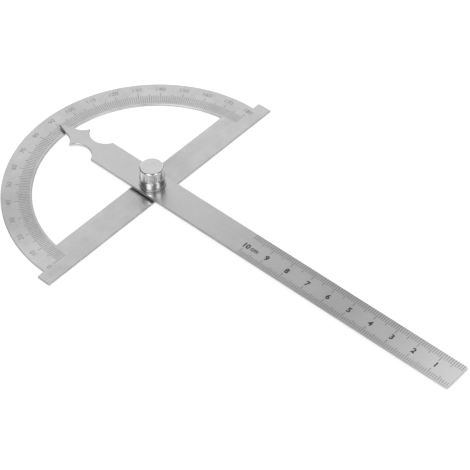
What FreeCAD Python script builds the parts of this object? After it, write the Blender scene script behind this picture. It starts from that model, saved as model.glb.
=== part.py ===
import FreeCAD, Part
import math
import os

# An adjustable bevel protractor of flat stainless sheet. The head is a half ring over a straight base bar,
# divided from 0 to 180 degrees. A ruler arm with a spear-shaped pointer turns above it on a stud, between two
# washers, and a knurled knob on the stud clamps it.
#
# Frame: origin on the pivot axis, in the underside that lies on the table. +X runs along the base bar towards
# the 180 degree end, +Y towards the 90 degree mark, +Z up. Millimetres.

# Driving dimensions

# Head
HEAD_THICKNESS = 1.0
RING_OUTER_RADIUS = 60.0
RING_WIDTH = 12.3
TAB_LENGTH = 3.5             # how far the bar stands out past the ring at each end
BAR_BELOW_CENTRE = 6.4       # from the 0-180 line down to the reference edge
BAR_ABOVE_CENTRE = 6.2       # from the 0-180 line up to the window
TAB_CORNER_RADIUS = 0.6      # on the side of the ring
EDGE_CORNER_RADIUS = 0.3     # at the ends of the reference edge

# Arm
ARM_THICKNESS = 1.2
ARM_WIDTH = 12.6
ARM_REACH = 150.0            # pivot to the zero end of the ruler
ARM_CORNER_RADIUS = 0.8
POINTER_REACH = 52.0         # pivot to the tip of the needle
NEEDLE_LENGTH = 6.2
NEEDLE_TIP_WIDTH = 0.4
NEEDLE_ROOT_WIDTH = 4.2
HOLLOW_LENGTH = 5.1          # the curved flank from the needle's root back to the barb
HOLLOW_DEPTH = 0.8
BARB_WIDTH = 12.0
WAIST_WIDTH = 4.4            # between the two round notches behind the barbs
NOTCH_RADIUS = 7.0

# Both plates
EDGE_BREAK = 0.12            # chamfer left by tumbling after blanking

# Engraved divisions: each row has short marks, longer ones at the fives and the longest at the tens
MARK_WIDTH = 0.26
MARK_DEPTH = 0.08
SCALE_MARGIN = 0.9           # blank rim between the window and the degree marks
SCALE_DEGREES = 180
DEGREE_MARK = 4.4
DEGREE_MARK_AT_5 = 5.3
DEGREE_MARK_AT_10 = 6.2
RULER_LENGTH = 100.0
LEFT_MARGIN = 0.45           # blank rim on the -X side of the ruler, where the +X row runs out over the edge
LEFT_MARK = 1.8
LEFT_MARK_AT_5 = 2.4
LEFT_MARK_AT_10 = 3.2
RIGHT_MARK = 2.9
RIGHT_MARK_AT_5 = 4.0
RIGHT_MARK_AT_10 = 4.6

# Pivot
SHOULDER_DIAMETER = 5.0
SHOULDER_DROP = 0.15         # the shoulder stays this far below the arm's top, so that the knob can clamp
STUD_HEAD_DIAMETER = 7.0
THREAD_DIAMETER = 4.0
THREAD_END_CHAMFER = 0.5
THREAD_END_GAP = 1.4         # free depth of the knob's blind bore, above the end of the stud
PRESSED_CLEARANCE = 0.02     # stud in the head
RUNNING_CLEARANCE = 0.05     # arm on the stud, knob on the thread
LOOSE_CLEARANCE = 0.12       # washers on the stud

# Washers
SPACER_DIAMETER = 9.6
SPACER_THICKNESS = 0.5
WASHER_DIAMETER = 10.6
WASHER_THICKNESS = 1.0
WASHER_CHAMFER = 0.2         # on both rims, outside

# Knob
KNOB_HEIGHT = 8.3
COLLAR_DIAMETER = 10.3
COLLAR_HEIGHT = 3.5
COLLAR_CHAMFER = 0.35
KNURL_DIAMETER = 9.9
KNURL_TEETH = 40
KNURL_DEPTH = 0.28
KNURL_CREST = 0.15           # flat left on each tooth
KNURL_RELIEF = 0.3           # width and depth of the turned groove under the knurl
KNOB_TOP_CHAMFER = 0.7       # it follows the rim's round of 1 mm to within a tenth
KNOB_ROOF = 1.4              # metal left above the blind thread
BORE_CHAMFER = 0.4

# Places that follow from them

RING_INNER_RADIUS = RING_OUTER_RADIUS - RING_WIDTH
BAR_HALF_LENGTH = RING_OUTER_RADIUS + TAB_LENGTH
ARM_BOTTOM = HEAD_THICKNESS + SPACER_THICKNESS
ARM_TOP = ARM_BOTTOM + ARM_THICKNESS
SHOULDER_TOP = ARM_TOP - SHOULDER_DROP
KNOB_BOTTOM = ARM_TOP + WASHER_THICKNESS
KNOB_TOP = KNOB_BOTTOM + KNOB_HEIGHT
BORE_TOP = KNOB_TOP - KNOB_ROOF
KNURL_BOTTOM = KNOB_BOTTOM + COLLAR_HEIGHT + KNURL_RELIEF
UP = FreeCAD.Vector(0, 0, 1)
NEAR = 1e-6                  # places that differ by less than this are the same


def point(x, y, z=0.0):
    return FreeCAD.Vector(x, y, z)


def break_edges(plate, thickness):
    """Chamfers the outline of a plate that lies on z = 0, on both faces."""
    outline = []
    for edge in plate.Edges:
        box = edge.BoundBox
        if box.ZLength < NEAR and any(abs(box.ZMin - z) < NEAR for z in (0, thickness)):
            outline.append(edge)
    return plate.makeChamfer(EDGE_BREAK, outline)


def upright_edges(solid, xs, ys):
    """The vertical edges that stand at one of the given x and one of the given y."""
    found = []
    for edge in solid.Edges:
        box = edge.BoundBox
        if box.ZLength < NEAR or box.XLength > NEAR or box.YLength > NEAR:
            continue
        if any(abs(box.XMin - x) < NEAR for x in xs) and any(abs(box.YMin - y) < NEAR for y in ys):
            found.append(edge)
    return found


def half_disc(radius, height):
    """The +Y half of a disc on the pivot axis."""
    return Part.makeCylinder(radius, height, point(0, 0), UP, 180)


def tube(outer_radius, inner_radius, height, bottom):
    outer = Part.makeCylinder(outer_radius, height, point(0, 0, bottom))
    return outer.cut(Part.makeCylinder(inner_radius, height, point(0, 0, bottom)))


def turned(profile):
    """A solid of revolution about the pivot axis from (radius, height) corners."""
    corners = [point(r, 0, z) for r, z in profile]
    return Part.Face(Part.makePolygon(corners + corners[:1])).revolve(point(0, 0), UP, 360)


def mark_length(number, plain, at_5, at_10):
    """The length of the mark with this number in its row."""
    if number % 10 == 0:
        return at_10
    return at_5 if number % 5 == 0 else plain


def groove(start, y, length, top):
    """A shallow channel along X, cut into the surface at this height."""
    corner = point(start, y - MARK_WIDTH / 2, top - MARK_DEPTH)
    return Part.makeBox(length, MARK_WIDTH, 2 * MARK_DEPTH, corner)


# Head

def degree_marks():
    """One radial groove for each degree, from 0 on the -X side round to 180."""
    grooves = []
    for degree in range(SCALE_DEGREES + 1):
        length = mark_length(degree, DEGREE_MARK, DEGREE_MARK_AT_5, DEGREE_MARK_AT_10)
        mark = groove(RING_INNER_RADIUS + SCALE_MARGIN, 0, length, HEAD_THICKNESS)
        mark.rotate(point(0, 0), UP, SCALE_DEGREES - degree)
        grooves.append(mark)
    return Part.makeCompound(grooves)


def stud_seat(clearance):
    """The cone that the stud's flush head fills, through the whole head plate."""
    wide = STUD_HEAD_DIAMETER / 2 + clearance
    narrow = SHOULDER_DIAMETER / 2 + clearance
    return Part.makeCone(wide, narrow, HEAD_THICKNESS)


def protractor_head():
    bar = Part.makeBox(2 * BAR_HALF_LENGTH, BAR_BELOW_CENTRE, HEAD_THICKNESS,
                       point(-BAR_HALF_LENGTH, -BAR_BELOW_CENTRE))
    ends = (-BAR_HALF_LENGTH, BAR_HALF_LENGTH)
    bar = bar.makeFillet(TAB_CORNER_RADIUS, upright_edges(bar, ends, (0,)))
    bar = bar.makeFillet(EDGE_CORNER_RADIUS, upright_edges(bar, ends, (-BAR_BELOW_CENTRE,)))
    below_window = Part.makeBox(2 * RING_OUTER_RADIUS, BAR_ABOVE_CENTRE, HEAD_THICKNESS,
                                point(-RING_OUTER_RADIUS, 0))
    window = half_disc(RING_INNER_RADIUS, HEAD_THICKNESS).cut(below_window)
    blank = half_disc(RING_OUTER_RADIUS, HEAD_THICKNESS).cut(window).fuse(bar).removeSplitter()
    return break_edges(blank, HEAD_THICKNESS).cut(stud_seat(PRESSED_CLEARANCE)).cut(degree_marks())


# Arm

def pointer_side(side):
    """The outline of one side of the pointer, from its tip back to the arm's straight side."""
    waist = side * WAIST_WIDTH / 2
    notch_depth = (ARM_WIDTH - WAIST_WIDTH) / 2
    barb_depth = (BARB_WIDTH - WAIST_WIDTH) / 2
    tip = point(side * NEEDLE_TIP_WIDTH / 2, POINTER_REACH)
    root = point(side * NEEDLE_ROOT_WIDTH / 2, POINTER_REACH - NEEDLE_LENGTH)
    barb = point(side * BARB_WIDTH / 2, root.y - HOLLOW_LENGTH)
    deepest = point(waist, barb.y - math.sqrt(NOTCH_RADIUS ** 2 - (NOTCH_RADIUS - barb_depth) ** 2))
    shoulder = point(side * ARM_WIDTH / 2,
                     deepest.y - math.sqrt(NOTCH_RADIUS ** 2 - (NOTCH_RADIUS - notch_depth) ** 2))
    flank = root - barb
    inward = point(-side * flank.y, side * flank.x).normalize()
    hollow = (barb + root) * 0.5 + inward * HOLLOW_DEPTH
    return [Part.LineSegment(tip, root).toShape(),
            Part.Arc(root, hollow, barb).toShape(),
            Part.Arc(barb, deepest, shoulder).toShape(),
            Part.LineSegment(shoulder, point(shoulder.x, -ARM_REACH)).toShape()]


def arm_outline():
    edges = pointer_side(-1) + pointer_side(1)
    for half, y in ((ARM_WIDTH / 2, -ARM_REACH), (NEEDLE_TIP_WIDTH / 2, POINTER_REACH)):
        edges.append(Part.LineSegment(point(-half, y), point(half, y)).toShape())
    return Part.Face(Part.Wire(Part.__sortEdges__(edges)))


def ruler_marks():
    """Millimetre grooves along both edges. The ruler reads from zero at the free end.

    The last mark of the +X row is a plain one, because the unit stands beside it.
    """
    grooves = []
    last = int(RULER_LENGTH)
    for millimetre in range(1, last + 1):
        y = millimetre - ARM_REACH
        left = mark_length(millimetre, LEFT_MARK, LEFT_MARK_AT_5, LEFT_MARK_AT_10)
        grooves.append(groove(LEFT_MARGIN - ARM_WIDTH / 2, y, left, ARM_TOP))
        right = mark_length(millimetre, RIGHT_MARK, RIGHT_MARK_AT_5, RIGHT_MARK_AT_10)
        if millimetre == last:
            right = RIGHT_MARK
        grooves.append(groove(ARM_WIDTH / 2 - right, y, right + EDGE_BREAK, ARM_TOP))
    return Part.makeCompound(grooves)


def ruler_arm():
    blade = arm_outline().extrude(point(0, 0, ARM_THICKNESS))
    half = ARM_WIDTH / 2
    blade = blade.makeFillet(ARM_CORNER_RADIUS, upright_edges(blade, (-half, half), (-ARM_REACH,)))
    blade = break_edges(blade, ARM_THICKNESS)
    blade.translate(point(0, 0, ARM_BOTTOM))
    radius = SHOULDER_DIAMETER / 2 + RUNNING_CLEARANCE
    bore = Part.makeCylinder(radius, ARM_THICKNESS, point(0, 0, ARM_BOTTOM))
    return blade.cut(bore).cut(ruler_marks())


# Pivot

def pivot_stud():
    """Flush cone head, plain shoulder for the arm, threaded end for the knob."""
    shoulder = SHOULDER_DIAMETER / 2
    thread = THREAD_DIAMETER / 2
    end = BORE_TOP - THREAD_END_GAP
    return turned([(0, 0), (STUD_HEAD_DIAMETER / 2, 0), (shoulder, HEAD_THICKNESS), (shoulder, SHOULDER_TOP),
                   (thread, SHOULDER_TOP), (thread, end - THREAD_END_CHAMFER),
                   (thread - THREAD_END_CHAMFER, end), (0, end)])


def spacer_washer():
    bore = SHOULDER_DIAMETER / 2 + LOOSE_CLEARANCE
    return tube(SPACER_DIAMETER / 2, bore, SPACER_THICKNESS, HEAD_THICKNESS)


def clamp_washer():
    bore = THREAD_DIAMETER / 2 + LOOSE_CLEARANCE
    rim = WASHER_DIAMETER / 2
    flat = rim - WASHER_CHAMFER
    return turned([(bore, ARM_TOP), (flat, ARM_TOP), (rim, ARM_TOP + WASHER_CHAMFER),
                   (rim, KNOB_BOTTOM - WASHER_CHAMFER), (flat, KNOB_BOTTOM), (bore, KNOB_BOTTOM)])


# Knob

def knob_body():
    """The turned blank: collar, relief groove, plain head and top chamfer, round a blind bore."""
    bore = THREAD_DIAMETER / 2 + RUNNING_CLEARANCE
    collar = COLLAR_DIAMETER / 2
    head = KNURL_DIAMETER / 2
    collar_top = KNOB_BOTTOM + COLLAR_HEIGHT
    return turned([(bore + BORE_CHAMFER, KNOB_BOTTOM), (collar - COLLAR_CHAMFER, KNOB_BOTTOM),
                   (collar, KNOB_BOTTOM + COLLAR_CHAMFER), (collar, collar_top),
                   (head - KNURL_RELIEF, collar_top), (head - KNURL_RELIEF, KNURL_BOTTOM),
                   (head, KNURL_BOTTOM), (head, KNOB_TOP - KNOB_TOP_CHAMFER),
                   (head - KNOB_TOP_CHAMFER, KNOB_TOP), (0, KNOB_TOP),
                   (0, BORE_TOP), (bore, BORE_TOP), (bore, KNOB_BOTTOM + BORE_CHAMFER)])


def knurl_grooves():
    """Straight V grooves all round the knob's head. Each prism's mouth opens outside the blank."""
    head = KNURL_DIAMETER / 2
    mouth = 2 * math.pi * head / KNURL_TEETH - KNURL_CREST
    corners = [point(head - KNURL_DEPTH, 0, KNURL_BOTTOM), point(head + KNURL_DEPTH, -mouth, KNURL_BOTTOM),
               point(head + KNURL_DEPTH, mouth, KNURL_BOTTOM)]
    prism = Part.Face(Part.makePolygon(corners + corners[:1])).extrude(point(0, 0, KNOB_HEIGHT))
    grooves = []
    for tooth in range(KNURL_TEETH):
        turned_prism = prism.copy()
        turned_prism.rotate(point(0, 0), UP, 360 * tooth / KNURL_TEETH)
        grooves.append(turned_prism)
    return Part.makeCompound(grooves)


def clamp_knob():
    return knob_body().cut(knurl_grooves())


PIECES = {
    "protractor_head": protractor_head,
    "ruler_arm": ruler_arm,
    "pivot_stud": pivot_stud,
    "spacer_washer": spacer_washer,
    "clamp_washer": clamp_washer,
    "clamp_knob": clamp_knob,
}

os.makedirs("parts", exist_ok=True)
for name, make in PIECES.items():
    shape = make()
    print(f"{name}: {len(shape.Solids)} solid, valid {shape.isValid()}, {shape.Volume:.1f} mm3")
    shape.exportStep(f"parts/{name}.step")
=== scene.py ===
# %% [markdown]
# An adjustable protractor of stainless sheet: a half-ring head, a ruler arm with a spear-shaped pointer, and
# a knurled knob that clamps one on the other. The plates come ready from the construction model. What is
# added here is their satin finish, the inked divisions and numerals, a bright knob and washer, and the thread
# that shows when the knob is unscrewed.

# %% Load the construction model
import math

import bmesh
import bpy
from mathutils import Matrix, Vector


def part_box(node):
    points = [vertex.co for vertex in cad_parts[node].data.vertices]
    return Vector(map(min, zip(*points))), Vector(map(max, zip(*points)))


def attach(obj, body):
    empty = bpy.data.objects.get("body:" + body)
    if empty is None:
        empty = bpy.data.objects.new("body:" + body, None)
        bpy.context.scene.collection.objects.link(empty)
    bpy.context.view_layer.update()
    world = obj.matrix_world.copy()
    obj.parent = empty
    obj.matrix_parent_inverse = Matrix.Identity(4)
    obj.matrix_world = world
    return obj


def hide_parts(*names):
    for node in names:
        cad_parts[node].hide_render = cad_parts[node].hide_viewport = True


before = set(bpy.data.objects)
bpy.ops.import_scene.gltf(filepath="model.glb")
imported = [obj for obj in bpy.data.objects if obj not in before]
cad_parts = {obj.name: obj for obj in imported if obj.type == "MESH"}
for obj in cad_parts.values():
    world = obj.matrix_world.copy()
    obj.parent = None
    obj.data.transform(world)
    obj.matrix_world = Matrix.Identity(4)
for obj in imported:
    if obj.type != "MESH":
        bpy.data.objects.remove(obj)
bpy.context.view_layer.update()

MM = 0.001
print("nodes:", sorted(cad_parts))

# %% [markdown]
# The camera comes first, so that every later step can be looked at from the right place. It looks down at the
# tool at about 45 degrees through a long lens, so parallel edges stay nearly parallel. Its place is worked
# out from angles and distances, the way a photographer would note them, and not typed in as coordinates.

# %% Camera
CAMERA_AZIMUTH = math.radians(-47.36)
CAMERA_ELEVATION = math.radians(46.55)
CAMERA_ROLL = math.radians(-1.25)
CAMERA_DISTANCE = 0.7406
CAMERA_SIDESTEP = 0.03241
CAMERA_DROP = -0.01855
LENS_MM = 143.64
SENSOR_MM = 36.0
NEAREST_SEEN = 0.01


def direction(azimuth, elevation):
    """The unit vector from the pivot towards a place at these angles. Azimuth 0 is the -Y side."""
    flat = math.cos(elevation)
    return Vector((math.sin(azimuth) * flat, -math.cos(azimuth) * flat, math.sin(elevation)))


def photo_camera():
    back = direction(CAMERA_AZIMUTH, CAMERA_ELEVATION)
    level = Vector((0, 0, 1)).cross(back).normalized()
    upright = back.cross(level)
    across = math.cos(CAMERA_ROLL) * level + math.sin(CAMERA_ROLL) * upright
    up = math.cos(CAMERA_ROLL) * upright - math.sin(CAMERA_ROLL) * level
    data = bpy.data.cameras.new("photo_camera")
    data.lens = LENS_MM
    data.sensor_width = SENSOR_MM
    data.clip_start = NEAREST_SEEN
    camera = bpy.data.objects.new("photo_camera", data)
    place = back * CAMERA_DISTANCE + across * CAMERA_SIDESTEP + up * CAMERA_DROP
    turn = Matrix((across, up, back)).transposed().to_4x4()
    camera.matrix_world = Matrix.Translation(place) @ turn
    bpy.context.collection.objects.link(camera)
    bpy.context.scene.camera = camera
    return camera


camera = photo_camera()
print("camera at", [round(v, 3) for v in camera.matrix_world.translation])

# %% [markdown]
# Node trees soon turn into spaghetti when every node is made by hand. Two small classes keep them readable.
# A `Graph` adds any node with one call: its type, its settings and what feeds its sockets. A `Wire` wraps an
# output socket, so that `1 - mask * 0.3` in Python adds the Math nodes for it. Both serve materials and
# Geometry Nodes alike, because the two use the same Math node.

# %% Expressions that build nodes
class Wire:
    """One output socket that can be used in Python arithmetic."""

    def __init__(self, graph, socket):
        self.graph = graph
        self.socket = socket

    def maths(self, operation, *others):
        feeds = dict(enumerate((self, *others)))
        return self.graph.add("ShaderNodeMath", {"operation": operation}, feeds)

    def part(self, name):
        """Another output of the same node."""
        return Wire(self.graph, self.socket.node.outputs[name])

    def __add__(self, other):
        return self.maths("ADD", other)

    def __sub__(self, other):
        return self.maths("SUBTRACT", other)

    def __rsub__(self, other):
        return self.graph.add("ShaderNodeMath", {"operation": "SUBTRACT"}, {0: other, 1: self})

    def __mul__(self, other):
        return self.maths("MULTIPLY", other)

    def __truediv__(self, other):
        return self.maths("DIVIDE", other)

    def __gt__(self, other):
        return self.maths("GREATER_THAN", other)

    def __lt__(self, other):
        return self.maths("LESS_THAN", other)

    def __abs__(self):
        return self.maths("ABSOLUTE")

    __radd__ = __add__
    __rmul__ = __mul__

    def least(self, other):
        return self.maths("MINIMUM", other)

    def most(self, other):
        return self.maths("MAXIMUM", other)


class Graph:
    """A node tree that is filled one node at a time."""

    MIX_COLOURS = (6, 7)     # the Mix node's two colour inputs
    MIX_RESULT = 2           # and its colour output

    def __init__(self, tree):
        self.tree = tree

    def add(self, kind, settings=None, feeds=None, out=0):
        """Adds a node. Settings come first, because they can change its sockets. Returns one output."""
        node = self.tree.nodes.new(kind)
        for name, value in (settings or {}).items():
            setattr(node, name, value)
        for name, item in (feeds or {}).items():
            if isinstance(item, Wire):
                self.tree.links.new(item.socket, node.inputs[name])
            else:
                node.inputs[name].default_value = item
        return Wire(self, node.outputs[out]) if node.outputs else None

    def blend(self, factor, first, second):
        """Mixes two colours. A Math node would turn them grey."""
        a, b = self.MIX_COLOURS
        feeds = {0: factor, a: first, b: second}
        return self.add("ShaderNodeMix", {"data_type": "RGBA"}, feeds, self.MIX_RESULT)

    def grey(self, level):
        """The grey of this level, where the level changes over the surface."""
        return self.add("ShaderNodeCombineColor", feeds={"Red": level, "Green": level, "Blue": level})


def grey(level):
    """The grey of this level, where it is one number all over."""
    return (level, level, level, 1.0)


WHITE = grey(1.0)


def new_material(name):
    material = bpy.data.materials.new(name)
    material.use_nodes = True
    material.node_tree.nodes.clear()
    return material, Graph(material.node_tree)


print("node helpers ready")

# %% [markdown]
# The floor. The background of a catalogue picture is pure white, and it gets that from what the camera sees
# of the floor, not from more light on the tool. The floor is lifted to just about white and no further: a
# floor that is brighter than white spills over the tool's thin edges and makes them look narrower. A part of
# its light is real, so the soft shadow under the tool stays.

# %% Floor
FLOOR_SIZE = 6.0
FLOOR_GAP = 0.05 * MM        # the floor lies this far under the tool, so that no two faces coincide
FLOOR_COLOUR = 0.8
SEEN_FLOOR_COLOUR = 0.42
FLOOR_LIFT = 0.79
MIRRORED_SHARE = 0.7         # how much of that lift the steel mirrors


def floor():
    half = FLOOR_SIZE / 2
    corners = [(x, y, -FLOOR_GAP) for x, y in ((-half, -half), (half, -half), (half, half), (-half, half))]
    mesh = bpy.data.meshes.new("floor")
    mesh.from_pydata(corners, [], [(0, 1, 2, 3)])
    obj = bpy.data.objects.new("floor", mesh)
    bpy.context.collection.objects.link(obj)
    material, graph = new_material("pale_floor")
    ray = graph.add("ShaderNodeLightPath", out="Is Camera Ray")
    mirrored = ray.part("Is Glossy Ray")
    seen = ray.most(ray.part("Is Transmission Ray")).most(mirrored * MIRRORED_SHARE)
    colour = graph.blend(seen.most(mirrored), grey(FLOOR_COLOUR), grey(SEEN_FLOOR_COLOUR))
    lit = graph.add("ShaderNodeBsdfDiffuse", feeds={"Color": colour})
    lift = graph.add("ShaderNodeEmission", feeds={"Color": WHITE, "Strength": seen * FLOOR_LIFT})
    both = graph.add("ShaderNodeAddShader", feeds={0: lit, 1: lift})
    graph.add("ShaderNodeOutputMaterial", feeds={"Surface": both})
    mesh.materials.append(material)


floor()
print("floor", FLOOR_SIZE, "m wide")

# %% [markdown]
# The light. Metal shows what is around it, so the light is planned by what each surface mirrors. The flat
# plates mirror the sky behind the tool, which is a bright, wide panel, with a backdrop below it for whoever
# looks from lower down. The knob mirrors what lies in front, and two high panels there with dim sky between
# them give it the bright windows and dark bands that make plating look like plating. The low front and side
# panels are for a look from behind, where the plates would otherwise mirror a dark room.

# %% Light
SKY_LEVEL = 0.15
PANELS = {
    # name: (azimuth, elevation, distance, width, height, brightness)
    "back_panel": (133, 50, 1.6, 1.9, 1.3, 0.98),
    "backdrop": (133, 8, 2.0, 3.0, 1.0, 0.9),
    "front_panel": (-36, 18, 2.2, 3.0, 1.0, 0.8),
    "side_panel": (46, 12, 2.2, 2.2, 0.8, 0.6),
    "left_panel": (-78, 53, 1.3, 0.58, 0.7, 3.6),
    "right_panel": (4, 53, 1.3, 0.4, 0.7, 2.8),
}


def white_world():
    world = bpy.data.worlds.new("white_world")
    world.use_nodes = True
    world.node_tree.nodes.clear()
    graph = Graph(world.node_tree)
    seen = graph.add("ShaderNodeLightPath", out="Is Camera Ray")
    strength = seen.most(SKY_LEVEL)
    sky = graph.add("ShaderNodeBackground", feeds={"Color": WHITE, "Strength": strength})
    graph.add("ShaderNodeOutputWorld", feeds={"Surface": sky})
    bpy.context.scene.world = world


def panel(name, azimuth, elevation, distance, width, height, brightness):
    """A soft box that faces the pivot. Its power follows from its brightness and its size."""
    lamp = bpy.data.lights.new(name, "AREA")
    lamp.shape = "RECTANGLE"
    lamp.size = width
    lamp.size_y = height
    lamp.energy = brightness * math.pi * width * height
    obj = bpy.data.objects.new(name, lamp)
    towards = direction(math.radians(azimuth), math.radians(elevation))
    turn = towards.to_track_quat("Z", "Y").to_matrix().to_4x4()
    obj.matrix_world = Matrix.Translation(towards * distance) @ turn
    bpy.context.collection.objects.link(obj)


bpy.context.scene.view_settings.view_transform = "Standard"
white_world()
for name, facts in PANELS.items():
    panel(name, *facts)
print("panels:", list(PANELS))

# %% [markdown]
# Satin stainless sheet. The sheet is brushed along its length before it is cut, so its finish is a bundle of
# very fine scratches that all run one way. Over them lie wider streaks, where the brush pressed harder, slow,
# cloudy changes of tone and a fine grit. A picture of steel could be wrapped round the plates, but noise that
# is stretched along one axis gives the same marks and stays sharp from close by. The pattern reads object
# coordinates, which stay with the piece when it turns.

# %% Patterns of a brushed sheet
ALONG_X = 0
ALONG_Y = 1
SCRATCH = (30.0, 4200.0)     # noise periods in a metre, along the brushing and across it
STREAK = (40.0, 560.0)
CLOUDS = 140.0               # noise periods in a metre, the same both ways
GRIT = 1800.0
NOISE_MIDDLE = 0.5           # the level that a Noise Texture swings round


def noise(graph, place, scale, stretch=(1, 1, 1), detail=2.0):
    """Soft noise that swings evenly round zero, by about a half at most."""
    spread = graph.add("ShaderNodeMapping", feeds={"Vector": place, "Scale": stretch})
    feeds = {"Vector": spread, "Scale": scale, "Detail": detail}
    return graph.add("ShaderNodeTexNoise", feeds=feeds) - NOISE_MIDDLE


def brushed(graph, place, periods, along, detail=2.0):
    """Noise drawn out along one axis."""
    lengthways, across = periods
    stretch = [across] * 3
    stretch[along] = lengthways
    return noise(graph, place, 1.0, stretch, detail)


def patch(graph, place, x, y, reach_x, reach_y):
    """A soft oval: 1 at its middle, 0 at its reach and beyond. All four in millimetres."""
    scale = (1 / (reach_x * MM), 1 / (reach_y * MM), 0)
    around = graph.add("ShaderNodeMapping", feeds={
        "Vector": place, "Location": (-x / reach_x, -y / reach_y, 0), "Scale": scale})
    distance = graph.add("ShaderNodeVectorMath", {"operation": "LENGTH"}, {"Vector": around}, "Value")
    return (1 - distance).most(0.0)


print("patterns ready")

# %% [markdown]
# Soft patches paint the room's uneven reflection into each plate's colour: a patch that darkens the steel is
# painted shade, and one that lightens it, as at the free end of the arm, is painted sheen. The cut edges of a
# plate were tumbled and not brushed, so they scatter light more widely. They look at the table and not at the
# sky, so without painted light in their colour, a lighter grey that stands in for the bright table they
# mirror, they would come out far too dark. The mask for them is how far the surface tilts away from flat.

# %% Steel for the plates
# Patches of painted reflection: one that darkens is painted shade, one that lightens is painted sheen.
HEAD_PATCHES = {
    # name: (x, y, reach along x, reach along y, change of tone), in millimetres
    "round the pivot": (0, 0, 34, 30, -0.18),
    "shade on the left of the ring": (-47, 34, 32, 32, -0.21),
    "ring end": (-58, 10, 16, 16, 0.1),
    "sheen on the right of the ring": (46, 30, 30, 30, 0.06),
    "shade on the bar's left end": (-48, -3, 34, 12, -0.1),
}
ARM_PATCHES = {
    "shade along the middle": (0, -96, 200, 56, -0.30),
    "past the knob": (0, -45, 200, 45, -0.12),
    "pointer": (0, 30, 200, 36, 0.06),
    "free end": (0, -154, 200, 34, 0.26),
}
FELT_DEPTH = 0.01 * MM       # what a height of 1 in a bump stands for
SCRATCH_TONE = 0.08          # how much each pattern changes the tone
STREAK_TONE = 0.1
CLOUD_TONE = 0.16
GRIT_TONE = 0.13
SCRATCH_DULLNESS = 0.1       # how much each makes the metal rougher
STREAK_DULLNESS = 0.08
EDGE_DULLNESS = 0.25
STREAK_RELIEF = 0.5          # how deep a streak is felt, beside a scratch
SATIN_BUMP = 0.12


def finish(graph, colour, roughness, height, bump, metallic=1.0):
    """Ends a material's tree: a bump for what can be felt, the shader and the output."""
    relief = graph.add("ShaderNodeBump", feeds={"Strength": bump, "Distance": FELT_DEPTH, "Height": height})
    shader = graph.add("ShaderNodeBsdfPrincipled", feeds={
        "Base Color": colour, "Roughness": roughness, "Metallic": metallic, "Normal": relief})
    graph.add("ShaderNodeOutputMaterial", feeds={"Surface": shader})


def facing_up(graph):
    """How squarely the surface looks up or down: 1 on a face of the sheet, 0 on its edge."""
    normal = graph.add("ShaderNodeNewGeometry", out="Normal")
    return abs(graph.add("ShaderNodeSeparateXYZ", feeds={"Vector": normal}, out="Z"))


def satin_steel(name, shade, roughness, along, edge_light_gain, unevenness, patches):
    """Brushed sheet with clouds, patches of painted shade and sheen, and cut edges lit by painted light."""
    material, graph = new_material(name)
    place = graph.add("ShaderNodeTexCoord", out="Object")
    scratches = brushed(graph, place, SCRATCH, along, detail=3.0)
    streaks = brushed(graph, place, STREAK, along)
    clouds = noise(graph, place, CLOUDS, detail=3.0)
    grit = noise(graph, place, GRIT, detail=1.0)
    edge = 1 - facing_up(graph)
    uneven = STREAK_TONE * streaks + CLOUD_TONE * clouds + GRIT_TONE * grit
    level = shade * (1 + SCRATCH_TONE * scratches + unevenness * uneven)
    # Painted light on the cut edges, then painted shade and sheen from the patches.
    tone = 1 + (edge_light_gain - 1) * edge
    for x, y, reach_x, reach_y, change in patches.values():
        tone = tone + change * patch(graph, place, x, y, reach_x, reach_y)
    rough = roughness + SCRATCH_DULLNESS * scratches + STREAK_DULLNESS * streaks + EDGE_DULLNESS * edge
    finish(graph, graph.grey(level * tone), rough, scratches + STREAK_RELIEF * streaks, SATIN_BUMP)
    return material


def dress(node, material):
    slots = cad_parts[node].data.materials
    slots.clear()
    slots.append(material)


head_satin = satin_steel("head_satin", shade=0.525, roughness=0.3, along=ALONG_X, edge_light_gain=1.4,
                         unevenness=1.8, patches=HEAD_PATCHES)
arm_satin = satin_steel("arm_satin", shade=0.5, roughness=0.3, along=ALONG_Y, edge_light_gain=1.45,
                        unevenness=1.0, patches=ARM_PATCHES)
dress("protractor_head", head_satin)
dress("ruler_arm", arm_satin)
print("plates dressed:", head_satin.name, arm_satin.name)

# %% [markdown]
# Turned steel and bright plating. The washers and the stud are plain turned steel, with faint rings left by
# the tool's point. The knob is plated, so it mirrors the plates and the panels. Its top face was turned flat
# and stays rougher than its sides, and every flat face of these pieces is painted darker than its sides, a
# painted shade. The knob's knurl is duller too, because the plating can't level so many small ridges. The
# round rim between them is polished, and mirrors the dark and the bright of the room. The three metals differ
# only in tone and polish, so one function makes them all.

# %% Steel for the turned pieces
RING_ANGLE = 9000.0          # radians for each metre of radius, which sets the rings 0.7 mm apart
RING_BUMP = 0.05
SMUDGES = 400.0              # noise periods in a metre
SMUDGE_TONE = 0.22
SMUDGE_DULLNESS = 0.04
FLAT_FROM = 0.95             # how squarely a face must look up or down to begin to count as turned flat
FLAT_RISE = 25.0             # and how quickly it then does
# Painted shade: a flat face is painted this much darker than the sides.
FLAT_FACE_SHADE = 0.72             # the tone of such a face, beside that of the sides
KNURL_TONE = 0.93
KNURL_DULLNESS = 0.12


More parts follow.
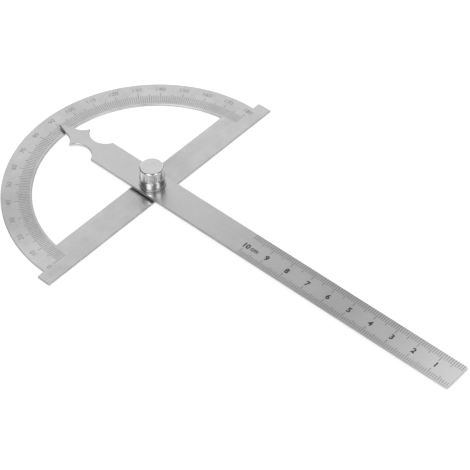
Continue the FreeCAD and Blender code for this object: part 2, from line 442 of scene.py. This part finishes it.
def turned_metal(name, shade, roughness, face_roughness, knurl=None):
    """Rings round the pivot axis and painted shade on flat faces, and smooth metal elsewhere.

    A knurl is given as the two heights that it lies between, and is a little duller.
    """
    material, graph = new_material(name)
    place = graph.add("ShaderNodeTexCoord", out="Object")
    x = graph.add("ShaderNodeSeparateXYZ", feeds={"Vector": place}, out="X")
    y = x.part("Y")
    radius = (x * x + y * y).maths("SQRT")
    rings = (radius * RING_ANGLE).maths("SINE")
    flat = ((facing_up(graph) - FLAT_FROM) * FLAT_RISE).most(0.0).least(1.0)
    smudge = noise(graph, place, SMUDGES)
    # A flat face takes painted shade in its colour, and is rougher.
    level = shade * (1 + SMUDGE_TONE * smudge) * (1 - (1 - FLAT_FACE_SHADE) * flat)
    rough = roughness + (face_roughness - roughness) * flat + SMUDGE_DULLNESS * smudge
    if knurl:
        low, high = knurl
        z = x.part("Z")
        ridged = (z > low) * (z < high)
        level = level * (1 - (1 - KNURL_TONE) * ridged)
        rough = rough + KNURL_DULLNESS * ridged
    finish(graph, graph.grey(level), rough, rings * flat, RING_BUMP)
    return material


COLLAR_HEIGHT = 3.5 * MM
TOP_ROUND = 1.0 * MM
knob_low, knob_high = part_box("clamp_knob")
knurl_band = (knob_low.z + COLLAR_HEIGHT, knob_high.z - TOP_ROUND)
plain_turned = turned_metal("plain_turned", shade=0.55, roughness=0.28, face_roughness=0.34)
bright_washer = turned_metal("bright_washer", shade=0.62, roughness=0.3, face_roughness=0.3)
bright_plate = turned_metal("bright_plate", shade=0.8, roughness=0.09, face_roughness=0.3, knurl=knurl_band)
dress("spacer_washer", plain_turned)
print("turned metals:", plain_turned.name, bright_washer.name, bright_plate.name)

# %% [markdown]
# The knob, its washer and the stud are lathe work, so each starts as a profile that is swept round the pivot
# axis. A cutting tool leaves no knife edge, and a small round on each corner is what catches the light. A
# Bevel modifier could round the swept mesh, but it would round the knurl's ridges too. So the corners of the
# knob's and the washer's profiles are rounded before the sweep.

# %% Rounded profiles
EDGE_ROUND = 0.12 * MM
ON_AXIS = 1e-6               # a radius below this is the axis itself
ARC_STEPS = 6
LONGEST_SHARE = 0.45         # a round takes this share of a side at most, so that two never meet
GUARD_SHARE = 0.1            # a guard point lies this share of the round's reach away from it


def rounded(profile, closed=False):
    """Rounds the corners of (radius, height) or (radius, height, round) rows.

    A guard point just before and after each arc keeps the shading of the flat stretches flat.
    """
    result = []
    for i, (radius, height, *wanted) in enumerate(profile):
        corner = Vector((radius, height))
        if radius < ON_AXIS and not closed:
            result.append(corner)
            continue
        before = Vector(profile[i - 1][:2]) - corner
        after = Vector(profile[(i + 1) % len(profile)][:2]) - corner
        size = wanted[0] if wanted else EDGE_ROUND
        reach = min(size, before.length * LONGEST_SHARE, after.length * LONGEST_SHARE)
        start = corner + before.normalized() * reach
        end = corner + after.normalized() * reach
        result.append(start + before.normalized() * reach * GUARD_SHARE)
        for step in range(ARC_STEPS + 1):
            t = step / ARC_STEPS
            result.append(start * (1 - t) ** 2 + corner * 2 * t * (1 - t) + end * t ** 2)
        result.append(end + after.normalized() * reach * GUARD_SHARE)
    return result


print("a square corner becomes", len(rounded([(2, 0), (2, 1), (1, 1), (1, 0)], closed=True)) // 4, "points")

# %% [markdown]
# The sweep. Blender's Spin tool could do it, and its doubled points on the axis and at the seam would then be
# merged. A short loop lays each point once from the start. A point on the axis becomes one vertex, so that
# the ends are closed. An open profile starts and ends on the axis, and a closed one, such as a washer's, goes
# round its bore.

# %% Lathe
def lathe(name, profile, columns, closed=False):
    """Sweeps (radius, height) points round the pivot axis into a closed mesh."""
    verts = []
    rows = []
    for radius, height in profile:
        if radius < ON_AXIS:
            rows.append([len(verts)])
            verts.append((0, 0, height))
            continue
        rows.append(range(len(verts), len(verts) + columns))
        for column in range(columns):
            angle = 2 * math.pi * column / columns
            verts.append((radius * math.cos(angle), radius * math.sin(angle), height))
    next_rows = rows[1:]
    if closed:
        next_rows.append(rows[0])
    faces = []
    for low, high in zip(rows, next_rows):
        for c in range(columns):
            d = (c + 1) % columns
            corners = [low[c % len(low)], low[d % len(low)], high[d % len(high)], high[c % len(high)]]
            faces.append(list(dict.fromkeys(corners)))  # on the axis, two corners are one
    mesh = bpy.data.meshes.new(name)
    mesh.from_pydata(verts, [], faces)
    shell = bmesh.new()
    shell.from_mesh(mesh)
    bmesh.ops.recalc_face_normals(shell, faces=shell.faces)
    volume = shell.calc_volume(signed=True)
    shell.to_mesh(mesh)
    shell.free()
    obj = bpy.data.objects.new(name, mesh)
    bpy.context.collection.objects.link(obj)
    print(name, len(faces), "faces,", round(volume / MM ** 3, 1), "mm3")
    return obj


print("lathe ready")

# %% [markdown]
# A Geometry Nodes tree takes its sizes as named inputs, so that one tree can serve several pieces. A modifier
# knows an input by its identifier and not by its name, so `grow` looks each one up. It keeps the result as a
# plain mesh and takes the modifier off, because a finished piece is handed over as a mesh.

# %% Helpers for Geometry Nodes
NUMBER = "NodeSocketFloat"


def new_geometry_tree(name, sizes):
    """An empty tree with a geometry in and out and one named input for each size."""
    tree = bpy.data.node_groups.new(name, "GeometryNodeTree")
    tree.interface.new_socket("Geometry", in_out="INPUT", socket_type="NodeSocketGeometry")
    tree.interface.new_socket("Geometry", in_out="OUTPUT", socket_type="NodeSocketGeometry")
    for label, kind in sizes.items():
        tree.interface.new_socket(label, in_out="INPUT", socket_type=kind)
    graph = Graph(tree)
    entry = graph.add("NodeGroupInput")
    return graph, {s.name: entry.part(s.name) for s in entry.socket.node.outputs if s.name}


def grow(obj, tree, sizes):
    """Runs a tree on an object with these sizes and keeps the result as a plain mesh."""
    modifier = obj.modifiers.new(tree.name, "NODES")
    modifier.node_group = tree
    inputs = {s.name: s.identifier for s in tree.interface.items_tree if s.in_out == "INPUT"}
    for label, value in sizes.items():
        modifier[inputs[label]] = value
    bpy.context.view_layer.update()
    evaluated = obj.evaluated_get(bpy.context.evaluated_depsgraph_get())
    mesh = bpy.data.meshes.new_from_object(evaluated)
    obj.modifiers.remove(modifier)
    obj.data = mesh
    print(obj.name, len(mesh.polygons), "faces after", tree.name)
    return obj


print("helpers for Geometry Nodes ready")

# %% [markdown]
# A knurl and a thread are the same cut: a V groove repeated round the axis. A knurl's grooves run straight
# up, and a thread's single groove climbs one pitch in each turn. A Boolean could cut them one by one, but it
# is slow and leaves slivers. One Geometry Nodes tree makes both by moving points. It works out how deep the
# groove is at each point of the blank, and pulls the point in to that radius if it lies outside. On the
# rounded rim the blank already lies inside, so there the grooves run out, as they do on a real knob.

# %% Groove cutter
def groove_cutter():
    graph, given = new_geometry_tree("groove_cutter", {
        "Starts": NUMBER, "Turns per metre": NUMBER, "Outer radius": NUMBER, "Depth": NUMBER,
        "Crest": NUMBER, "Low": NUMBER, "High": NUMBER, "Metal": "NodeSocketMaterial"})
    place = graph.add("GeometryNodeInputPosition")
    x = graph.add("ShaderNodeSeparateXYZ", feeds={"Vector": place}, out="X")
    y = x.part("Y")
    z = x.part("Z")
    radius = (x * x + y * y).maths("SQRT").most(ON_AXIS)
    phase = y.maths("ARCTAN2", x) * given["Starts"] / (2 * math.pi) + z * given["Turns per metre"]
    wave = phase.maths("PINGPONG", 0.5) * 2  # 0 in the middle of a crest, 1 in the middle of a groove
    cut = ((wave - given["Crest"]) / (1 - given["Crest"])).most(0.0)
    inside = (z > given["Low"]) * (z < given["High"])
    wanted = given["Outer radius"] - given["Depth"] * cut
    share = 1 - inside * (1 - (wanted / radius).least(1.0))
    moved = graph.add("ShaderNodeCombineXYZ", feeds={"X": x * share, "Y": y * share, "Z": z})
    shaped = graph.add("GeometryNodeSetPosition", feeds={"Geometry": given["Geometry"], "Position": moved})
    metal = {"Geometry": shaped, "Material": given["Metal"]}
    painted = graph.add("GeometryNodeSetMaterial", feeds=metal)
    graph.add("NodeGroupOutput", feeds={0: painted})
    return graph.tree


cutter = groove_cutter()
print("groove cutter inputs:", [s.name for s in cutter.interface.items_tree])

# %% [markdown]
# The knob: a smooth collar that fingers rest on, a thin relief groove, and a straight knurl with a rounded
# rim. It has a blind bore for the stud. Its outside is read from the construction model where that gives it.
# The washer under it has rounded rims, so that a dark line parts it from the knob and from the arm.

# %% Knob and washer
COLLAR_RADIUS = knob_high.x
COLLAR_CHAMFER = 0.35 * MM
KNURL_RADIUS = 4.95 * MM
KNURL_TEETH = 40
KNURL_DEPTH = 0.28 * MM
KNURL_CREST = 0.2            # share of each tooth that stays flat
RELIEF = 0.3 * MM
BORE_RADIUS = 2.05 * MM
BORE_ROOF = 1.4 * MM
COLUMNS_PER_TOOTH = 8
WASHER_BORE = 2.12 * MM
WASHER_ROUND = 0.26 * MM
WASHER_COLUMNS = 128
SHARP_FROM = math.radians(28)


def settle(piece, body, node):
    """Hands a finished piece to its body in place of its node, smooth but for its real corners."""
    piece.data.shade_smooth()
    piece.data.set_sharp_from_angle(angle=SHARP_FROM)
    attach(piece, body)
    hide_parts(node)


def knob():
    low, high = knob_low.z, knob_high.z
    collar_top = low + COLLAR_HEIGHT
    waist = KNURL_RADIUS - RELIEF
    profile = [(0, high), (KNURL_RADIUS, high, TOP_ROUND), (KNURL_RADIUS, collar_top + RELIEF),
               (waist, collar_top + RELIEF), (waist, collar_top), (COLLAR_RADIUS, collar_top),
               (COLLAR_RADIUS, low + COLLAR_CHAMFER), (COLLAR_RADIUS - COLLAR_CHAMFER, low),
               (BORE_RADIUS, low), (BORE_RADIUS, high - BORE_ROOF), (0, high - BORE_ROOF)]
    blank = lathe("clamp_knob_bright", rounded(profile), KNURL_TEETH * COLUMNS_PER_TOOTH)
    return grow(blank, cutter, {
        "Starts": float(KNURL_TEETH), "Turns per metre": 0.0, "Outer radius": KNURL_RADIUS,
        "Depth": KNURL_DEPTH, "Crest": KNURL_CREST, "Low": collar_top + RELIEF / 2, "High": high,
        "Metal": bright_plate})


def washer():
    low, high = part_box("clamp_washer")
    profile = [(WASHER_BORE, low.z), (high.x, low.z, WASHER_ROUND), (high.x, high.z, WASHER_ROUND),
               (WASHER_BORE, high.z)]
    ring = lathe("clamp_washer_bright", rounded(profile, closed=True), WASHER_COLUMNS, closed=True)
    ring.data.materials.append(bright_washer)
    return ring


settle(knob(), "knob", "clamp_knob")
settle(washer(), "washer", "clamp_washer")

# %% [markdown]
# The stud shows only when the knob is unscrewed, and then its thread is what one sees. A thread of 4 mm
# climbs 0.7 mm in each turn, and its groove is about six tenths of the pitch deep. The cutter that made the
# knurl makes it too, from a blank with enough rows of points to hold the groove's shape.

# %% Stud
THREAD_RADIUS = 2.0 * MM
THREAD_PITCH = 0.7 * MM
THREAD_DEPTH = 0.61 * THREAD_PITCH
THREAD_CREST = 0.12          # share of the pitch that stays flat
THREAD_STARTS = -1.0         # a single groove, counted backwards, which makes a right-hand thread
THREAD_ROWS = 10             # rows of points in each pitch
THREAD_END_CHAMFER = 0.5 * MM
SHOULDER_RADIUS = 2.5 * MM
SHOULDER_DROP = 0.15 * MM    # the shoulder ends this far below the arm's top
STUD_COLUMNS = 48

head_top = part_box("protractor_head")[1].z
arm_low, arm_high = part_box("ruler_arm")


def stud():
    low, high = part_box("pivot_stud")
    shoulder = arm_high.z - SHOULDER_DROP
    thread_end = high.z - THREAD_END_CHAMFER
    row_height = THREAD_PITCH / THREAD_ROWS
    rows = int((thread_end - shoulder) / row_height)
    shank = [(THREAD_RADIUS, thread_end - i * row_height) for i in range(rows)]
    profile = [(0, high.z), (THREAD_RADIUS - THREAD_END_CHAMFER, high.z), *shank, (THREAD_RADIUS, shoulder),
               (SHOULDER_RADIUS, shoulder), (SHOULDER_RADIUS, head_top), (high.x, low.z), (0, low.z)]
    blank = lathe("pivot_stud_threaded", profile, STUD_COLUMNS)
    return grow(blank, cutter, {
        "Starts": THREAD_STARTS, "Turns per metre": 1 / THREAD_PITCH, "Outer radius": THREAD_RADIUS,
        "Depth": THREAD_DEPTH, "Crest": THREAD_CREST, "Low": shoulder, "High": high.z, "Metal": plain_turned})


settle(stud(), "head", "pivot_stud")

# %% [markdown]
# The ink. The divisions are engraved and filled with dark ink, which wears: it is pale on the ring, where the
# arm passes over it, and on the ruler it grows paler towards the free end. The noise lets each mark differ a
# little. The grooves come with the construction model, so here each of them gets a thin bar of ink.

# %% Ink
INK_DROP = 0.02 * MM         # how far the ink lies below the steel's surface
WEAR = 500.0                 # noise periods in a metre
FRESH_ROUGHNESS = 0.45
WEAR_DULLNESS = 0.2
INK_BUMP = 0.1
FREE_END = ARM_PATCHES["free end"][:4]


def ink(name, dark, pale, worn=None):
    """Matt ink, paler where it is worn: by chance, and all over one soft patch."""
    material, graph = new_material(name)
    place = graph.add("ShaderNodeTexCoord", out="Object")
    wear = noise(graph, place, WEAR, detail=3.0) + NOISE_MIDDLE
    if worn:
        wear = (wear + patch(graph, place, *worn)).least(1.0)
    colour = graph.blend(wear, grey(dark), grey(pale))
    finish(graph, colour, FRESH_ROUGHNESS + WEAR_DULLNESS * wear, wear, INK_BUMP, metallic=0.0)
    return material


ring_mark_ink = ink("ring_mark_ink", dark=0.2, pale=0.42)
ring_figure_ink = ink("ring_figure_ink", dark=0.22, pale=0.44)
ruler_mark_ink = ink("ruler_mark_ink", dark=0.02, pale=0.26, worn=FREE_END)
ruler_figure_ink = ink("ruler_figure_ink", dark=0.015, pale=0.05)
print("inks:", ring_mark_ink.name, ring_figure_ink.name, ruler_mark_ink.name, ruler_figure_ink.name)

# %% [markdown]
# The divisions repeat by a rule, so a Geometry Nodes tree sets them out: one bar of ink for each step, longer
# at every fifth and longest at every tenth. A ring's marks turn about the pivot and a ruler's marks move
# along it, and the tree takes both a turn and an advance for each step, so that one tree serves all rows. The
# tree ends in Realize Instances, because only real meshes are handed over.

# %% Mark setter
def mark_setter():
    graph, given = new_geometry_tree("mark_setter", {
        "Marks": "NodeSocketInt", "First": NUMBER, "Start angle": NUMBER, "Turn each": NUMBER,
        "Start advance": NUMBER, "Advance each": NUMBER, "Inner end": NUMBER, "Towards": NUMBER,
        "Plain": NUMBER, "At five": NUMBER, "At ten": NUMBER, "Long ones end": NUMBER,
        "Width": NUMBER, "Height": NUMBER, "Level": NUMBER, "Ink": "NodeSocketMaterial"})
    number_of = graph.add("GeometryNodeInputIndex") + given["First"]
    angle = given["Start angle"] + number_of * given["Turn each"]
    advance = given["Start advance"] + number_of * given["Advance each"]
    may_be_long = number_of < given["Long ones end"]
    # A half is added, because a number a hair below 5 would otherwise leave almost 5 as its remainder.
    fives, tens = [((number_of + 0.5).maths("MODULO", step) < 1.0) * may_be_long for step in (5.0, 10.0)]
    length = given["Plain"] + fives * (given["At five"] - given["Plain"])
    length = length + tens * (given["At ten"] - given["At five"])
    middle = given["Inner end"] + given["Towards"] * length * 0.5
    place = graph.add("ShaderNodeCombineXYZ", feeds={
        "X": middle * angle.maths("COSINE"), "Y": middle * angle.maths("SINE") + advance,
        "Z": given["Level"]})
    points = graph.add("GeometryNodePoints", feeds={"Count": given["Marks"], "Position": place})
    bar = graph.add("GeometryNodeMeshCube", feeds={"Size": (1.0, 1.0, 1.0)})
    turn = graph.add("ShaderNodeCombineXYZ", feeds={"Z": angle})
    rotation = graph.add("FunctionNodeEulerToRotation", feeds={"Euler": turn})
    size = graph.add("ShaderNodeCombineXYZ", feeds={"X": length, "Y": given["Width"], "Z": given["Height"]})
    bars = graph.add("GeometryNodeInstanceOnPoints", feeds={
        "Points": points, "Instance": bar, "Rotation": rotation, "Scale": size})
    solid = graph.add("GeometryNodeRealizeInstances", feeds={"Geometry": bars})
    painted = graph.add("GeometryNodeSetMaterial", feeds={"Geometry": solid, "Material": given["Ink"]})
    graph.add("NodeGroupOutput", feeds={0: painted})
    return graph.tree


setter = mark_setter()
print("mark setter inputs:", len(setter.interface.items_tree))

# %% [markdown]
# Three rows use the tree: the degrees on the ring, and millimetres along both sides of the ruler, counted
# from its free end. The ring starts with a mark at 0, and the ruler has none there, because its end is the
# zero. The row on the right runs out over the edge. Its last mark is a short one, as the unit stands beside
# it.

# %% Set out the three rows
MARK_WIDTH = 0.25 * MM
MARK_HEIGHT = 0.055 * MM
ZERO_END = arm_low.y
RING_START = 48.6 * MM
RING_LENGTHS = (4.4 * MM, 5.3 * MM, 6.2 * MM)
LEFT_LENGTHS = (1.8 * MM, 2.4 * MM, 3.2 * MM)
RIGHT_LENGTHS = (2.9 * MM, 4.0 * MM, 4.6 * MM)
LEFT_MARGIN = 0.45 * MM
EDGE_BREAK = 0.12 * MM       # the chamfer that the right row runs out into
DEGREE_MARKS = 181           # from 0 to 180, both ends marked
MILLIMETRE_MARKS = 100
NO_LIMIT = 181.0             # no row has a mark with this number or a higher one


def row_of_marks(name, body, lengths, level, ink_used, sizes):
    """One row as a piece. The sizes name what differs from a row that neither turns nor advances."""
    obj = bpy.data.objects.new(name, bpy.data.meshes.new(name))
    bpy.context.collection.objects.link(obj)
    plain, five, ten = lengths
    common = {"Start angle": 0.0, "Turn each": 0.0, "Start advance": 0.0, "Advance each": 0.0,
              "Plain": plain, "At five": five, "At ten": ten, "Long ones end": NO_LIMIT,
              "Width": MARK_WIDTH, "Height": MARK_HEIGHT, "Level": level - INK_DROP - MARK_HEIGHT / 2,
              "Ink": ink_used}
    grow(obj, setter, {**common, **sizes})
    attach(obj, body)


row_of_marks("degree_marks", "head", RING_LENGTHS, head_top, ring_mark_ink, {
    "Marks": DEGREE_MARKS, "First": 0.0, "Start angle": math.pi,
    "Turn each": -math.pi / (DEGREE_MARKS - 1), "Inner end": RING_START, "Towards": 1.0})
row_of_marks("ruler_marks_left", "arm", LEFT_LENGTHS, arm_high.z, ruler_mark_ink, {
    "Marks": MILLIMETRE_MARKS, "First": 1.0, "Start advance": ZERO_END, "Advance each": 1 * MM,
    "Inner end": arm_low.x + LEFT_MARGIN, "Towards": 1.0})
row_of_marks("ruler_marks_right", "arm", RIGHT_LENGTHS, arm_high.z, ruler_mark_ink, {
    "Marks": MILLIMETRE_MARKS, "First": 1.0, "Start advance": ZERO_END, "Advance each": 1 * MM,
    "Inner end": arm_high.x - EDGE_BREAK, "Towards": -1.0, "Long ones end": float(MILLIMETRE_MARKS)})

# %% [markdown]
# The numerals are generic figures in like ink. They stand a hundredth of a millimetre above the steel, since
# nothing is engraved for them. Text is drawn as a curve, given a little thickness, turned into a mesh and
# only then moved to its place, so that the finished piece has its place in its mesh.

# %% Numerals as meshes
FIGURE_HEIGHT_SHARE = 0.73   # how tall a figure is, as a share of the letter size
TEXT_THICKNESS = 0.02 * MM
TEXT_CURVE_STEPS = 3


def figure(text, height, widening=1.0, bold=0.0):
    """A thin mesh of the text, centred on the origin, its top towards +Y."""
    curve = bpy.data.curves.new("figure", "FONT")
    curve.body = text
    curve.size = height / FIGURE_HEIGHT_SHARE
    curve.resolution_u = TEXT_CURVE_STEPS
    curve.offset = bold
    curve.extrude = TEXT_THICKNESS / 2
    obj = bpy.data.objects.new("figure", curve)
    bpy.context.collection.objects.link(obj)
    bpy.context.view_layer.update()
    mesh = bpy.data.meshes.new_from_object(obj.evaluated_get(bpy.context.evaluated_depsgraph_get()))
    bpy.data.objects.remove(obj)
    xs = [v.co.x for v in mesh.vertices]
    ys = [v.co.y for v in mesh.vertices]
    centre = Vector(((min(xs) + max(xs)) / 2, (min(ys) + max(ys)) / 2, 0))
    mesh.transform(Matrix.Diagonal((widening, 1, 1, 1)) @ Matrix.Translation(-centre))
    return mesh


def lettering(name, body, ink_used, figures):
    """Joins figures, each a (mesh, place, angle), into one piece."""
    joined = bmesh.new()
    for mesh, place, angle in figures:
        mesh.transform(Matrix.Translation(place) @ Matrix.Rotation(angle, 4, "Z"))
        joined.from_mesh(mesh)
    data = bpy.data.meshes.new(name)
    joined.to_mesh(data)
    joined.free()
    data.materials.append(ink_used)
    obj = bpy.data.objects.new(name, data)
    bpy.context.collection.objects.link(obj)
    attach(obj, body)
    print(name, len(data.polygons), "faces")


print("helpers for numerals ready")

# %% [markdown]
# The ring is numbered at every tenth degree. Each figure stands on the radius of its mark, so it turns with
# that radius. At 90 degrees, where the radius has made a quarter turn from +X, the figure is upright.

# %% Numbers of the ring
RING_FIGURE_RADIUS = 57.0 * MM
RING_FIGURE_HEIGHT = 2.1 * MM
RING_FIGURE_WIDENING = 1.05
RING_FIGURE_STEP = 10
UPRIGHT = math.pi / 2

ring_figures = []
for degree in range(0, DEGREE_MARKS, RING_FIGURE_STEP):
    around = math.pi - math.radians(degree)
    place = Vector((math.cos(around), math.sin(around), 0)) * RING_FIGURE_RADIUS + Vector((0, 0, head_top))
    drawn = figure(str(degree), RING_FIGURE_HEIGHT, widening=RING_FIGURE_WIDENING)
    ring_figures.append((drawn, place, around - UPRIGHT))
lettering("degree_figures", "head", ring_figure_ink, ring_figures)

# %% [markdown]
# The ruler's figures stand between its two rows, with their tops towards +X, and are bolder than the ring's.
# They drift slowly to the left from the free end on, and the unit follows the last one.

# %% Numbers of the ruler
CENTIMETRES = 10
FIGURE_TURN = -math.pi / 2
RULER_FIGURE_HEIGHT = 2.4 * MM
RULER_FIGURE_BOLD = 0.12 * MM
RULER_FIGURE_X = -0.15 * MM
RULER_FIGURE_DRIFT = -0.08 * MM  # each figure stands this much further to the left
RULER_FIGURE_SHIFT = 0.4 * MM    # the figures stand a little before their marks
LAST_FIGURE_SHIFT = 0.6 * MM     # and the 10 a little more, to leave room for the unit
UNIT_HEIGHT = 2.15 * MM
UNIT_BOLD = 0.07 * MM
UNIT_X = -1.1 * MM
UNIT_AT = 95.7 * MM

ruler_figures = []
for centimetre in range(1, CENTIMETRES + 1):
    shift = LAST_FIGURE_SHIFT if centimetre == CENTIMETRES else RULER_FIGURE_SHIFT
    x = RULER_FIGURE_X + centimetre * RULER_FIGURE_DRIFT
    place = Vector((x, ZERO_END + centimetre * 10 * MM - shift, arm_high.z))
    drawn = figure(str(centimetre), RULER_FIGURE_HEIGHT, bold=RULER_FIGURE_BOLD)
    ruler_figures.append((drawn, place, FIGURE_TURN))
unit_place = Vector((UNIT_X, ZERO_END + UNIT_AT, arm_high.z))
ruler_figures.append((figure("cm", UNIT_HEIGHT, bold=UNIT_BOLD), unit_place, FIGURE_TURN))
lettering("ruler_figures", "arm", ruler_figure_ink, ruler_figures)
